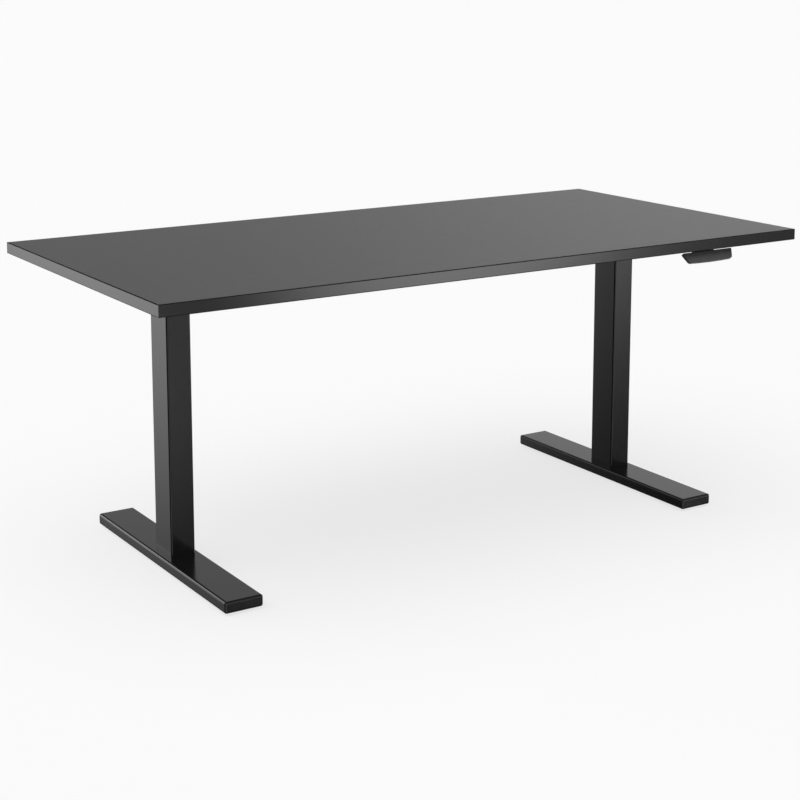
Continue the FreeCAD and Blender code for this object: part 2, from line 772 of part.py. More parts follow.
def make_arm(side):
    """A hat section of folded sheet under each end of the desktop, tapering towards its ends."""
    body = new_body(f"{side}_arm")
    full = "Sizes.arm_long / 2"
    flat = "(Sizes.arm_long / 2 - Sizes.arm_taper)"
    rise = "(Sizes.arm_high - Sizes.arm_end)"
    side_view = new_sketch(body, "YZ_Plane")
    add_outline(side_view, [
        (f"-{flat}", "0"),
        (flat, "0"),
        (full, rise),
        (full, "Sizes.arm_high"),
        (f"-{full}", "Sizes.arm_high"),
        (f"-{full}", rise),
    ])
    pad(body, side_view, "Sizes.arm_wide", symmetric=True)
    lips = new_sketch(body, "XY_Plane", "Sizes.arm_high - Sizes.sheet_wall")
    lip_size = ("(Sizes.arm_wide + 2 * Sizes.lip_wide)", "Sizes.arm_long")
    add_rectangle(lips, lip_size)
    pad(body, lips, "Sizes.sheet_wall")
    round_edges(body, "Sizes.head_round", upright_at(lip_size))
    hollow = new_sketch(body, "YZ_Plane")
    add_outline(hollow, [
        (f"-{flat}", "Sizes.sheet_wall"),
        (flat, "Sizes.sheet_wall"),
        (f"{full} - Sizes.sheet_wall", f"{rise} + Sizes.sheet_wall"),
        (f"{full} - Sizes.sheet_wall", "Sizes.arm_high + Sizes.past"),
        (f"-{full} + Sizes.sheet_wall", "Sizes.arm_high + Sizes.past"),
        (f"-{full} + Sizes.sheet_wall", f"{rise} + Sizes.sheet_wall"),
    ])
    pocket(body, hollow, "Sizes.arm_wide - 2 * Sizes.sheet_wall", symmetric=True)
    screws = [(f"{a} * {LIP_X}", y) for a in (-1, 1) for y in LIP_Y]
    drill(body, screws, "Sizes.wood_r + Sizes.wide_play", "Sizes.arm_high - Sizes.sheet_wall - Sizes.past",
          THROUGH_SHEET)
    drill(body, ARM_BOLTS, "Sizes.bolt_r + Sizes.hole_play", "-Sizes.past", THROUGH_SHEET)
    place(body, leg_x(side), "0", ARM_UNDER)


def make_rail(name, sign):
    """A steel tube across the desk, bolted between the head plates and the arms."""
    body = new_body(name)
    sketch = new_sketch(body, "YZ_Plane")
    middle = ("0", "Sizes.rail_high / 2")
    add_rectangle(sketch, ("Sizes.rail_wide", "Sizes.rail_high"), middle)
    add_rectangle(sketch, shrink(("Sizes.rail_wide", "Sizes.rail_high"), "Sizes.rail_wall"), middle)
    pad(body, sketch, "Sizes.rail_long", symmetric=True)
    wide = SIZES["rail_wide"] / 2
    round_edges(body, "Sizes.rail_round",
                lambda edge: runs_along(edge, 0) and abs(abs(edge.CenterOfMass.y) - wide) < NEAR)
    through = "Sizes.rail_wall + 2 * Sizes.past"
    top_wall = "Sizes.rail_high - Sizes.rail_wall - Sizes.past"
    for reach, level in (("Sizes.rail_bolt_x", "-Sizes.past"), ("Sizes.arm_bolt_x", top_wall)):
        centres = [(leg_x(side, f"{a} * {reach}"), "0") for side in SIDES for a in (-1, 1)]
        drill(body, centres, "Sizes.bolt_r + Sizes.hole_play", level, through)
    place(body, "0", f"{sign} * Sizes.rail_offset", RAIL_UNDER)


def make_frame_bolts():
    """Bolts from below through the head plates, and from above through the arms."""
    sizes = ("Sizes.bolt_r", "Sizes.bolt_long", "Sizes.bolt_head_r", "Sizes.bolt_head", "Sizes.hex_r")
    pieces = []
    for side in SIDES:
        below = [(leg_x(side, x), y) for x, y in GEARBOX_BOLTS + RAIL_BOLTS]
        above = [(leg_x(side, x), y) for x, y in ARM_BOLTS]
        pieces += bolts("head_bolt_" + side, below, HEAD_UNDER, False, sizes)
        pieces += bolts("arm_bolt_" + side, above, f"({ARM_UNDER} + Sizes.sheet_wall)", True, sizes)
    group("frame_bolts", pieces)


# ---------------------------------------------------------------- desktop

SCREW_SPOTS = [(leg_x(side, f"{a} * {LIP_X}"), y) for side in SIDES for a in (-1, 1) for y in LIP_Y]
SCREW_SPOTS += BOX_SCREWS + HANDSET_SCREWS


def make_board(label, level, thick, hole_depth):
    """One flat layer of the desktop, inside the edge bands, with the screws' holes."""
    body = new_body(label)
    sketch = new_sketch(body, "XY_Plane")
    add_rectangle(sketch, shrink(("Sizes.desk_width", "Sizes.desk_depth"), "Sizes.band_thick"))
    pad(body, sketch, thick)
    if hole_depth:
        drill(body, SCREW_SPOTS, "Sizes.wood_r + Sizes.hole_play", "0", hole_depth)
    place(body, "0", "0", level)


def make_band(label, size, corner, facing):
    """One strip of the edge band, its outer edges eased.

    facing is the axis that it faces, 0 for X or 1 for Y, and the way it looks along that axis.
    """
    strip = box(label + "_strip", size, corner)
    doc.recompute()
    axis, sign = facing
    outside = strip.Shape.BoundBox
    face = ((outside.XMin, outside.XMax), (outside.YMin, outside.YMax))[axis][sign > 0]
    names = []
    for number, edge in enumerate(strip.Shape.Edges, start=1):
        if abs(edge.CenterOfMass[axis] - face) < NEAR and runs_along(edge, 1 - axis):
            names.append((number, SIZES["band_round"], SIZES["band_round"]))
    band = doc.addObject("Part::Fillet", label)
    band.Label = label
    band.Base = strip
    band.Edges = names
    made[label] = band
    doc.recompute()


def make_desktop():
    """The core board, its two skins and the four strips of edge band."""
    core_thick = "(Sizes.top_thick - 2 * Sizes.skin_thick)"
    core_holes = "Sizes.wood_long - Sizes.sheet_wall - Sizes.skin_thick + Sizes.past"
    make_board("bottom_skin", TOP_UNDER, "Sizes.skin_thick", "Sizes.skin_thick + Sizes.past")
    make_board("desktop_core", f"{TOP_UNDER} + Sizes.skin_thick", core_thick, core_holes)
    make_board("top_skin", "Sizes.desk_low - Sizes.skin_thick", "Sizes.skin_thick", None)
    half_wide, half_deep = "Sizes.desk_width / 2", "Sizes.desk_depth / 2"
    long_size = ("Sizes.desk_width", "Sizes.band_thick", "Sizes.top_thick")
    short_size = ("Sizes.band_thick", "Sizes.desk_depth - 2 * Sizes.band_thick", "Sizes.top_thick")
    short_y = f"-{half_deep} + Sizes.band_thick"
    back_y = f"{half_deep} - Sizes.band_thick"
    right_x = f"{half_wide} - Sizes.band_thick"
    make_band("front_edge_band", long_size, (f"-{half_wide}", f"-{half_deep}", TOP_UNDER), (1, -1))
    make_band("back_edge_band", long_size, (f"-{half_wide}", back_y, TOP_UNDER), (1, 1))
    make_band("left_edge_band", short_size, (f"-{half_wide}", short_y, TOP_UNDER), (0, -1))
    make_band("right_edge_band", short_size, (right_x, short_y, TOP_UNDER), (0, 1))


def make_desktop_screws():
    """The wood screws that hold the arms, the control box and the handset under the desktop."""
    sizes = ("Sizes.wood_r", "Sizes.wood_long", "Sizes.wood_head_r", "Sizes.wood_head", "Sizes.hex_r")
    bearing = f"({TOP_UNDER} - Sizes.sheet_wall)"
    group("desktop_screws", bolts("desktop_screw", SCREW_SPOTS, bearing, False, sizes))


# ---------------------------------------------------------------- control box

VENTS_EACH_WAY = 4


def make_control_box():
    """The supply and control unit between the rails, with its sockets in both ends and a cover below."""
    housing = new_body("control_box")
    size = ("Sizes.box_long", "Sizes.box_deep")
    block = new_sketch(housing, "XY_Plane")
    add_rectangle(block, size)
    high = "(Sizes.box_high - Sizes.box_cover)"
    pad(housing, block, high)
    round_edges(housing, "Sizes.box_round", upright_at(size))
    ears = new_sketch(housing, "XY_Plane", f"{high} - Sizes.sheet_wall")
    ear_size = ("(Sizes.box_long + 2 * Sizes.ear_long)", "(Sizes.box_deep - Sizes.ear_step)")
    add_rectangle(ears, ear_size)
    pad(housing, ears, "Sizes.sheet_wall")
    round_edges(housing, "Sizes.box_round", upright_at(ear_size))
    sockets = new_sketch(housing, "YZ_Plane", "Sizes.box_long / 2 - Sizes.socket_deep")
    for number in (-1, 0, 1):
        centre = (f"{number} * Sizes.socket_gap", "Sizes.socket_up")
        add_rectangle(sockets, ("Sizes.socket_wide", "Sizes.socket_high"), centre)
    pocket(housing, sockets, "Sizes.socket_deep + Sizes.past")
    inlet = new_sketch(housing, "YZ_Plane", "-Sizes.box_long / 2 - Sizes.past")
    add_rectangle(inlet, ("Sizes.inlet_wide", "Sizes.inlet_high"), ("0", "Sizes.inlet_up"))
    pocket(housing, inlet, "Sizes.socket_deep + Sizes.past")
    drill(housing, BOX_SCREWS, "Sizes.wood_r + Sizes.wide_play", f"{high} - Sizes.sheet_wall - Sizes.past",
          THROUGH_SHEET)
    place(housing, "0", "0", f"{TOP_UNDER} - {high}")
    cover = new_body("control_box_cover")
    sheet_sketch = new_sketch(cover, "XY_Plane")
    add_rectangle(sheet_sketch, size)
    pad(cover, sheet_sketch, "Sizes.box_cover")
    round_edges(cover, "Sizes.box_round", upright_at(size))
    round_edges(cover, "Sizes.cover_round", lambda edge: abs(edge.CenterOfMass.z) < NEAR)
    vents = new_sketch(cover, "XY_Plane", "-Sizes.past")
    for number in range(-VENTS_EACH_WAY, VENTS_EACH_WAY + 1):
        add_rectangle(vents, ("Sizes.vent_wide", "Sizes.vent_long"), (f"{number} * Sizes.vent_gap", "0"))
    pocket(cover, vents, "Sizes.box_cover + 2 * Sizes.past")
    place(cover, "0", "0", f"{TOP_UNDER} - Sizes.box_high")


# ---------------------------------------------------------------- handset

PIN_Y = "(-Sizes.desk_depth / 2 + Sizes.pin_back)"
PIN_Z = f"({TOP_UNDER} - Sizes.pin_drop)"
CHEEK_IN = "(Sizes.boss_wide / 2 + Sizes.cheek_play)"


def make_bracket():
    """The handset's fixed part: a plate under the desktop, a front wall, and two cheeks for the pin."""
    front = "(-Sizes.desk_depth / 2 + Sizes.bracket_front)"
    body = new_body("handset_bracket")
    plate = new_sketch(body, "XY_Plane", f"{TOP_UNDER} - Sizes.sheet_wall")
    size = ("Sizes.bracket_wide", "Sizes.bracket_deep")
    add_rectangle(plate, size, ("0", f"{front} + Sizes.bracket_deep / 2"))
    pad(body, plate, "Sizes.sheet_wall")
    wall = new_sketch(body, "XY_Plane", f"{TOP_UNDER} - Sizes.bracket_lip")
    wall_centre = ("0", f"{front} + Sizes.bracket_wall / 2")
    add_rectangle(wall, ("Sizes.bracket_wide", "Sizes.bracket_wall"), wall_centre)
    pad(body, wall, "Sizes.bracket_lip - Sizes.past")
    for sign in (-1, 1):
        level = f"{sign} * ({CHEEK_IN} + Sizes.cheek_thick / 2) - Sizes.cheek_thick / 2"
        cheek = new_sketch(body, "YZ_Plane", level)
        add_outline(cheek, [
            (f"{PIN_Y} - Sizes.cheek_nose", f"{PIN_Z} - Sizes.cheek_low"),
            (f"{PIN_Y} + Sizes.cheek_nose", f"{PIN_Z} - Sizes.cheek_low"),
            (f"{PIN_Y} + Sizes.cheek_side", f"{PIN_Z} - Sizes.cheek_low / 2"),
            (f"{PIN_Y} + Sizes.cheek_back", f"{TOP_UNDER} - Sizes.past"),
            (f"{PIN_Y} - Sizes.cheek_side", f"{TOP_UNDER} - Sizes.past"),
            (f"{PIN_Y} - Sizes.cheek_side", f"{PIN_Z} - Sizes.cheek_low / 2"),
        ])
        pad(body, cheek, "Sizes.cheek_thick")
        hole = new_sketch(body, "YZ_Plane", f"{level} - Sizes.past")
        add_circle(hole, "Sizes.pin_r", PIN_Y, PIN_Z)
        pocket(body, hole, "Sizes.cheek_thick + 2 * Sizes.past")
    drill(body, [(f"{a} * Sizes.handset_screw_x", HANDSET_SCREW_Y) for a in (-1, 1)],
          "Sizes.wood_r + Sizes.wide_play", f"{TOP_UNDER} - Sizes.sheet_wall - Sizes.past", THROUGH_SHEET)
    place(body, "Sizes.handset_x")


def make_paddle():
    """The wing-shaped paddle that the user tips up or down, with its hub on the pin."""
    slab = new_body("paddle_slab")
    del made[slab.Label]
    sketch = new_sketch(slab, "XY_Plane")
    narrow, wide, slope = "Sizes.paddle_narrow / 2", "Sizes.paddle_wide / 2", "Sizes.paddle_slope"
    half = "Sizes.paddle_narrow / 4"
    add_outline(sketch, [
        (f"-{narrow}", "Sizes.paddle_bow"),
        (f"-{half}", "Sizes.paddle_bow / 4"),
        ("0", "0"),
        (half, "Sizes.paddle_bow / 4"),
        (narrow, "Sizes.paddle_bow"),
        (wide, slope),
        (f"-{wide}", slope),
    ])
    pad(slab, sketch, "Sizes.paddle_thick")
    corners = (("paddle_narrow", "Sizes.paddle_corner"), ("paddle_wide", "Sizes.paddle_top_corner"))
    for corner, radius in corners:
        reach = SIZES[corner] / 2
        round_edges(slab, radius,
                    lambda edge: runs_along(edge, 2) and abs(abs(edge.CenterOfMass.x) - reach) < NEAR)
    faces = (0, SIZES["paddle_thick"])
    round_edges(slab, "Sizes.paddle_edge",
                lambda edge: min(abs(edge.CenterOfMass.z - level) for level in faces) < NEAR)
    slab.Placement = FreeCAD.Placement(
        FreeCAD.Vector(), FreeCAD.Rotation(FreeCAD.Vector(1, 0, 0), SIZES["paddle_lean"]))
    foot_y = "-Sizes.desk_depth / 2 + Sizes.paddle_thick * sin(Sizes.paddle_lean)"
    foot_z = (f"{TOP_UNDER} - Sizes.paddle_drop - Sizes.paddle_slope * sin(Sizes.paddle_lean)"
              " - Sizes.paddle_thick * cos(Sizes.paddle_lean)")
    place(slab, "Sizes.handset_x", foot_y, foot_z)
    hub = new_body("paddle_hub")
    del made[hub.Label]
    side_view = new_sketch(hub, "YZ_Plane")
    add_circle(side_view, "Sizes.boss_r", PIN_Y, PIN_Z)
    pad(hub, side_view, "Sizes.boss_wide", symmetric=True)
    web = new_sketch(hub, "YZ_Plane")
    add_outline(web, [
        (f"{PIN_Y} - Sizes.web_front", f"{PIN_Z} - Sizes.web_low"),
        (PIN_Y, f"{PIN_Z} - Sizes.web_high"),
        (f"{PIN_Y} + Sizes.tail_back", PIN_Z),
        (f"{PIN_Y} + Sizes.tail_back", f"{PIN_Z} + Sizes.tail_high"),
        (f"{PIN_Y} + Sizes.tail_back - Sizes.tail_long", f"{PIN_Z} + Sizes.tail_high"),
        (PIN_Y, f"{PIN_Z} + Sizes.web_high"),
        (f"{PIN_Y} - Sizes.web_front + Sizes.web_high", f"{PIN_Z} + Sizes.web_low"),
    ])
    pad(hub, web, "Sizes.web_wide", symmetric=True)
    bore = new_sketch(hub, "YZ_Plane")
    add_circle(bore, "Sizes.pin_r + Sizes.running_play", PIN_Y, PIN_Z)
    pocket(hub, bore, "Sizes.boss_wide + 2 * Sizes.past", symmetric=True)
    place(hub, "Sizes.handset_x")
    paddle = doc.addObject("Part::Fuse", "handset_paddle")
    paddle.Label = "handset_paddle"
    paddle.Base = slab
    paddle.Tool = hub
    paddle.Refine = True
    made[paddle.Label] = paddle
    doc.recompute()


def make_pin():
    """The steel pin across the cheeks."""
    body = new_body("paddle_pin")
    sketch = new_sketch(body, "YZ_Plane")
    add_circle(sketch, "Sizes.pin_r", PIN_Y, PIN_Z)
    pad(body, sketch, f"2 * ({CHEEK_IN} + Sizes.cheek_thick)", symmetric=True)
    place(body, "Sizes.handset_x")


def make_switch_board():
    """The small circuit board under the plate, with the two switches that the paddle's tail works."""
    under = f"({TOP_UNDER} - Sizes.sheet_wall - Sizes.board_thick)"
    board_y = f"({PIN_Y} + Sizes.board_back)"
    board_size = ("Sizes.board_wide", "Sizes.board_deep", "Sizes.board_thick")
    parts = [box("switch_base", board_size, ("Sizes.handset_x - Sizes.board_wide / 2", board_y, under))]
    case_size = ("Sizes.switch_wide", "Sizes.switch_wide", "Sizes.switch_high")
    case_y = f"{board_y} + (Sizes.board_deep - Sizes.switch_wide) / 2"
    for offset in ("- Sizes.switch_gap / 2 - Sizes.switch_wide", "+ Sizes.switch_gap / 2"):
        corner = (f"Sizes.handset_x {offset}", case_y, f"{under} - Sizes.switch_high")
        parts.append(box("switch_case", case_size, corner))
    board = doc.addObject("Part::MultiFuse", "switch_board")
    board.Label = "switch_board"
    board.Shapes = parts
    made[board.Label] = board
    doc.recompute()


# ---------------------------------------------------------------- the whole desk

for side_name in SIDES:
    make_foot(side_name)
    make_foot_caps(side_name)
    make_leg(side_name)
    make_drive(side_name)
    make_head(side_name)
    make_gearbox(side_name)
    make_motor(side_name)
    make_arm(side_name)
make_glides()
make_column_bolts()
make_rail("front_rail", "-1")
make_rail("back_rail", "1")
make_frame_bolts()
make_desktop()
make_desktop_screws()
make_control_box()
make_bracket()
make_paddle()
make_pin()
make_switch_board()

doc.removeObject(probe.Name)
doc.recompute()


def faults():
    """What is wrong with the document, in words."""
    found = []
    for piece in doc.Objects:
        if "Invalid" in piece.State or "Error" in piece.State:
            found.append(f"{piece.Label}: {piece.State}")
    for label, piece in made.items():
        shape = piece.Shape
        if shape.isNull() or not shape.isValid() or not shape.Solids:
            found.append(f"{label}: no valid solid")
    return found


problems = faults()
if problems:
    raise RuntimeError("; ".join(problems))

os.makedirs("parts", exist_ok=True)
for label, piece in made.items():
    piece.Shape.exportStep(f"parts/{label}.step")
print(len(made), "sub-parts written")
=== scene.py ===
import json
import math

import bpy
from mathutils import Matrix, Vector

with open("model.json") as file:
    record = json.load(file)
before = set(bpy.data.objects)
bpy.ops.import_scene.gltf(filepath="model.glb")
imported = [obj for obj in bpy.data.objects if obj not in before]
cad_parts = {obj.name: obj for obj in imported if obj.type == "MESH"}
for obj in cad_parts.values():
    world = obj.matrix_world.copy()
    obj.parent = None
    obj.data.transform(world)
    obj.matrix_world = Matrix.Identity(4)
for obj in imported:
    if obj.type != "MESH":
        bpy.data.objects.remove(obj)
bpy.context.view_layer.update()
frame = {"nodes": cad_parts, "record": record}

# Every visible piece of the desk is a CAD node. This script gives each one its material, and adds the
# floor, the light and the camera. Lengths are in metres.

# ---------------------------------------------------------------- camera
CAMERA_PLACE = (-2.045, -3.180, 1.291)
CAMERA_PITCH = math.radians(9.5)
CAMERA_YAW = math.radians(32.4)
CAMERA_LENS = 76.4
CAMERA_SHIFT = -0.205

# ---------------------------------------------------------------- floor and light
WHITE = (1, 1, 1, 1)
FLOOR_HALF = 90.0
FLOOR_GLOW = 0.72
FLOOR_TINT = 0.28
CLIP_END = 4 * FLOOR_HALF

OVERHEAD_AIM = (0.25, 0.1, -1)
OVERHEAD_SPREAD = math.radians(80)
OVERHEAD_POWER = 2.0

PLAIN_SKY = 0.97
# The studio's brightness: the sine of the height above the horizon, and the level there.
SKY_LEVELS = ((-0.60, 0.03), (-0.32, 0.12), (-0.12, 0.36), (0.10, 0.49), (0.45, 0.48), (0.75, 0.05))
DARKEST_SKY = 0.05
# Soft reflectors and dark flags round the desk: turn from +Y towards +X and height in degrees, inner and
# outer radius in degrees, and brightness, which is negative for a flag. Beside each is what mirrors it,
# from the camera unless another view is named.
REFLECTORS = (
    (-29, -6, 3, 16, 1.5),  # the left faces
    (-27, -23, 2, 9, 0.25),  # the left foot's side
    (-25, 17, 3, 11, 3.6),  # the bright line along the feet's left edges
    (6, 33, 8, 17, -0.5),  # the dark line beside it
    (-92, -15, 30, 44, -0.4),  # the columns' front left corners
    (-46, -5, 7, 18, -0.5),  # the right column's left face
    (146.5, -8, 2, 8, 4.0),  # the bright middle of the front edge
    (139, -2, 3, 9, 1.0),  # its fade to the right
    (159, -15, 1, 5, 1.8),  # the left column's front
    (50, 2, 5, 26, 0.42),  # the right end of the top
    (48, -22, 4, 34, 1.3),  # the right faces from the right front, the back faces from the left back
    (-138, -31, 3, 24, 1.6),  # the front faces from the right front, the left faces from the left back
    (100, -4, 4, 26, 1.2),  # the right faces from the right
    (190, -3, 3, 24, 1.1),  # the front faces from the front
    (-52, 30, 5, 24, 0.6),  # the top from the right front
)

# ---------------------------------------------------------------- surfaces
MICRONS_TO_THE_METRE = 1000000
NOISE_RANGE = (0.3, 0.7)  # where most of a noise's values lie
TURNED_LEVEL = (0.05, 0.25)  # the upright part of a normal, where a face starts to turn and where it has

EVENLY = (1.0, 1.0, 1.0)
ALONG_THE_EDGES = (0.05, 0.05, 1.0)  # drawn out along X and Y
ALONG_THE_COLUMNS = (1.0, 1.0, 0.05)  # drawn out along Z

CHIP_SHAPE = (1.0, 1.0, 2.5)
CHIP_RANGE = (0.1, 0.9)
DARK_CHIP = (0.16, 0.09, 0.045)
LIGHT_CHIP = (0.50, 0.36, 0.21)

SOLDER_MASK = (0.01, 0.09, 0.04, 1)
PALER_MASK = (0.012, 0.11, 0.05, 1)
TRACK_GREEN = (0.03, 0.20, 0.08, 1)


def grey(level, warmth=0.0):
    return (level * (1 + warmth), level, level * (1 - warmth))


def add_node(tree, kind, inputs=None, **settings):
    """A shader node with its settings, and its inputs as numbers or as links from other nodes."""
    node = tree.nodes.new(kind)
    for key, value in settings.items():
        setattr(node, key, value)
    for key, value in (inputs or {}).items():
        if isinstance(value, bpy.types.NodeSocket):
            tree.links.new(value, node.inputs[key])
        else:
            node.inputs[key].default_value = value
    return node


def fill_ramp(node, stops):
    """Sets a colour ramp's stops from (place, colour) pairs."""
    elements = node.color_ramp.elements
    while len(elements) < len(stops):
        elements.new(1.0)
    for element, (place, colour) in zip(elements, stops):
        element.position = place
        element.color = (*colour, 1)
    return node.outputs["Color"]


# ---------------------------------------------------------------- stage
def add_camera():
    """A long lens at chest height, well out in front of the left end, looking down across the desk."""
    data = bpy.data.cameras.new("camera")
    data.lens = CAMERA_LENS
    data.shift_y = CAMERA_SHIFT
    data.clip_end = CLIP_END
    camera = bpy.data.objects.new("camera", data)
    camera.location = CAMERA_PLACE
    camera.rotation_euler = (math.pi / 2 - CAMERA_PITCH, 0, -CAMERA_YAW)
    bpy.context.scene.collection.objects.link(camera)
    bpy.context.scene.camera = camera


def add_overhead_light():
    """Broad overhead light, soft enough to leave only a faint shadow. The desk doesn't mirror it."""
    data = bpy.data.lights.new("overhead", "SUN")
    data.angle = OVERHEAD_SPREAD
    data.energy = OVERHEAD_POWER
    lamp = bpy.data.objects.new("overhead", data)
    lamp.rotation_euler = Vector(OVERHEAD_AIM).to_track_quat("-Z", "Y").to_euler()
    lamp.visible_glossy = False
    bpy.context.scene.collection.objects.link(lamp)


def add_floor():
    """A pale floor with a glow of its own, which keeps its shadows light.

    The desk neither mirrors it nor is lit by it.
    """
    mesh = bpy.data.meshes.new("floor")
    corners = [(x * FLOOR_HALF, y * FLOOR_HALF, 0) for x, y in ((-1, -1), (1, -1), (1, 1), (-1, 1))]
    mesh.from_pydata(corners, [], [(0, 1, 2, 3)])
    floor = bpy.data.objects.new("floor", mesh)
    bpy.context.scene.collection.objects.link(floor)
    floor.visible_glossy = False
    floor.visible_diffuse = False
    paint = bpy.data.materials.new("floor_paint")
    paint.use_nodes = True
    shader = paint.node_tree.nodes["Principled BSDF"]
    shader.inputs["Base Color"].default_value = (*grey(FLOOR_TINT), 1)
    shader.inputs["Roughness"].default_value = 1.0
    shader.inputs["Specular IOR Level"].default_value = 0.0
    shader.inputs["Emission Color"].default_value = WHITE
    shader.inputs["Emission Strength"].default_value = FLOOR_GLOW
    mesh.materials.append(paint)


def add_reflector(tree, light, way, turn, rise, inner, outer, power):
    """The light plus one soft round reflector, full inside its inner radius and gone past its outer one."""
    turn, rise, inner, outer = (math.radians(angle) for angle in (turn, rise, inner, outer))
    centre = (math.sin(turn) * math.cos(rise), math.cos(turn) * math.cos(rise), math.sin(rise))
    near = add_node(tree, "ShaderNodeVectorMath", {0: way, 1: centre}, operation="DOT_PRODUCT")
    glow = add_node(tree, "ShaderNodeMapRange", {
        "Value": near.outputs["Value"], "From Min": math.cos(outer), "From Max": math.cos(inner),
        "To Max": power}, interpolation_type="SMOOTHSTEP")
    return add_node(tree, "ShaderNodeMath", {0: light, 1: glow.outputs["Result"]}).outputs["Value"]


def add_sky():
    """The studio that lights the desk, palest round the horizon. The camera sees a plain sky instead."""
    world = bpy.data.worlds.new("sky")
    world.use_nodes = True
    tree = world.node_tree
    tree.nodes.clear()
    way = add_node(tree, "ShaderNodeTexCoord").outputs["Generated"]
    height = add_node(tree, "ShaderNodeSeparateXYZ", {"Vector": way}).outputs["Z"]
    level = add_node(tree, "ShaderNodeMapRange", {"Value": height, "From Min": -1}).outputs["Result"]
    stops = [((rise + 1) / 2, grey(light)) for rise, light in SKY_LEVELS]
    light = fill_ramp(add_node(tree, "ShaderNodeValToRGB", {"Fac": level}), stops)
    for reflector in REFLECTORS:
        light = add_reflector(tree, light, way, *reflector)
    lit = add_node(tree, "ShaderNodeMath", {0: light, 1: DARKEST_SKY}, operation="MAXIMUM")
    studio = add_node(tree, "ShaderNodeBackground", {"Color": WHITE, "Strength": lit.outputs["Value"]})
    plain = add_node(tree, "ShaderNodeBackground", {"Color": (*grey(PLAIN_SKY), 1)})
    seen = add_node(tree, "ShaderNodeLightPath").outputs["Is Camera Ray"]
    shown = add_node(tree, "ShaderNodeMixShader", {
        0: seen, 1: studio.outputs["Background"], 2: plain.outputs["Background"]})
    add_node(tree, "ShaderNodeOutputWorld", {"Surface": shown.outputs["Shader"]})
    bpy.context.scene.world = world


def build_stage():
    bpy.context.scene.view_settings.view_transform = "Standard"
    add_camera()
    add_floor()
    add_sky()
    add_overhead_light()


# ---------------------------------------------------------------- materials
class Paint:
    """A node material built round one Principled shader, in the object's own metres."""

    def __init__(self, name, rough, metal=0.0, specular=0.5):
        self.material = bpy.data.materials.new(name)
        self.material.use_nodes = True
        self.tree = self.material.node_tree
        self.shader = self.tree.nodes["Principled BSDF"]
        self.shader.inputs["Metallic"].default_value = metal
        self.shader.inputs["Specular IOR Level"].default_value = specular
        self.rough = rough
        self.place = self.add("ShaderNodeTexCoord").outputs["Object"]
        self.relief = None

    def add(self, kind, inputs=None, **settings):
        return add_node(self.tree, kind, inputs, **settings)

    def link(self, value, socket):
        self.tree.links.new(value, self.shader.inputs[socket])

    def stretched(self, scale):
        return self.add("ShaderNodeMapping", {"Vector": self.place, "Scale": scale}).outputs["Vector"]

    def noise(self, per_metre, detail, place=None):
        made = self.add("ShaderNodeTexNoise", {
            "Vector": place or self.place, "Scale": per_metre, "Detail": detail})
        return made.outputs["Fac"]

    def cells(self, per_metre, feature="F1", place=None):
        return self.add("ShaderNodeTexVoronoi", {"Vector": place or self.place, "Scale": per_metre},
                        feature=feature)

    def mapped(self, value, source, low, high):
        """Runs from low to high as the value crosses its source range."""
        made = self.add("ShaderNodeMapRange", {
            "Value": value, "From Min": source[0], "From Max": source[1],
            "To Min": low, "To Max": high})
        return made.outputs["Result"]

    def blended(self, value, source, dark, light):
        """Colour that runs from dark to light as the value crosses its source range."""
        stops = list(zip(source, (dark, light)))
        self.link(fill_ramp(self.add("ShaderNodeValToRGB", {"Fac": value}), stops), "Base Color")

    def tinted(self, colour, value, spread):
        """Colour that varies by a share of itself."""
        dark = [part * (1 - spread) for part in colour]
        light = [part * (1 + spread) for part in colour]
        self.blended(value, NOISE_RANGE, dark, light)

    def roughened(self, value, spread, more=None):
        """Roughness that varies either side of the material's own, with more on top."""
        made = self.mapped(value, NOISE_RANGE, self.rough - spread, self.rough + spread)
        if more:
            made = self.add("ShaderNodeMath", {0: made, 1: more}).outputs["Value"]
        self.link(made, "Roughness")

    def off_upright(self, most):
        """Nothing on an upright face, and that much where the surface has turned towards level."""
        normal = self.add("ShaderNodeNewGeometry").outputs["Normal"]
        rise = self.add("ShaderNodeSeparateXYZ", {"Vector": normal}).outputs["Z"]
        turn = self.add("ShaderNodeMath", {0: rise}, operation="ABSOLUTE").outputs["Value"]
        return self.mapped(turn, TURNED_LEVEL, 0, most)

    def raised(self, height, microns, strength=1.0):
        """Adds relief of that depth on top of what is there."""
        depth = microns / MICRONS_TO_THE_METRE
        inputs = {"Height": height, "Distance": depth, "Strength": strength}
        if self.relief:
            inputs["Normal"] = self.relief
        self.relief = self.add("ShaderNodeBump", inputs).outputs["Normal"]
        self.link(self.relief, "Normal")


def laminate():
    """Matt melamine: dense fine pores, with a slightly uneven colour and sheen."""
    paint = Paint("laminate", rough=0.40)
    paint.tinted(grey(0.046), paint.noise(per_metre=900, detail=3), spread=0.06)
    paint.roughened(paint.noise(per_metre=60, detail=3), spread=0.008)
    paint.raised(paint.noise(per_metre=1500, detail=3), microns=40)
    paint.raised(paint.cells(per_metre=700).outputs["Distance"], microns=30)
    return paint.material


def edge_band():
    """Extruded edge strip: smoother than the board, with faint lines along its length.

    The cutter that rounds its edges leaves them dull, so they show as a thin dark line.
    """
    paint = Paint("edge_band", rough=0.13)
    lines = paint.stretched(ALONG_THE_EDGES)
    paint.tinted(grey(0.006), paint.noise(per_metre=1400, detail=3), spread=0.04)
    paint.roughened(paint.noise(per_metre=900, detail=2), spread=0.01, more=paint.off_upright(most=0.8))
    paint.raised(paint.noise(per_metre=1200, detail=2, place=lines), microns=10)
    return paint.material


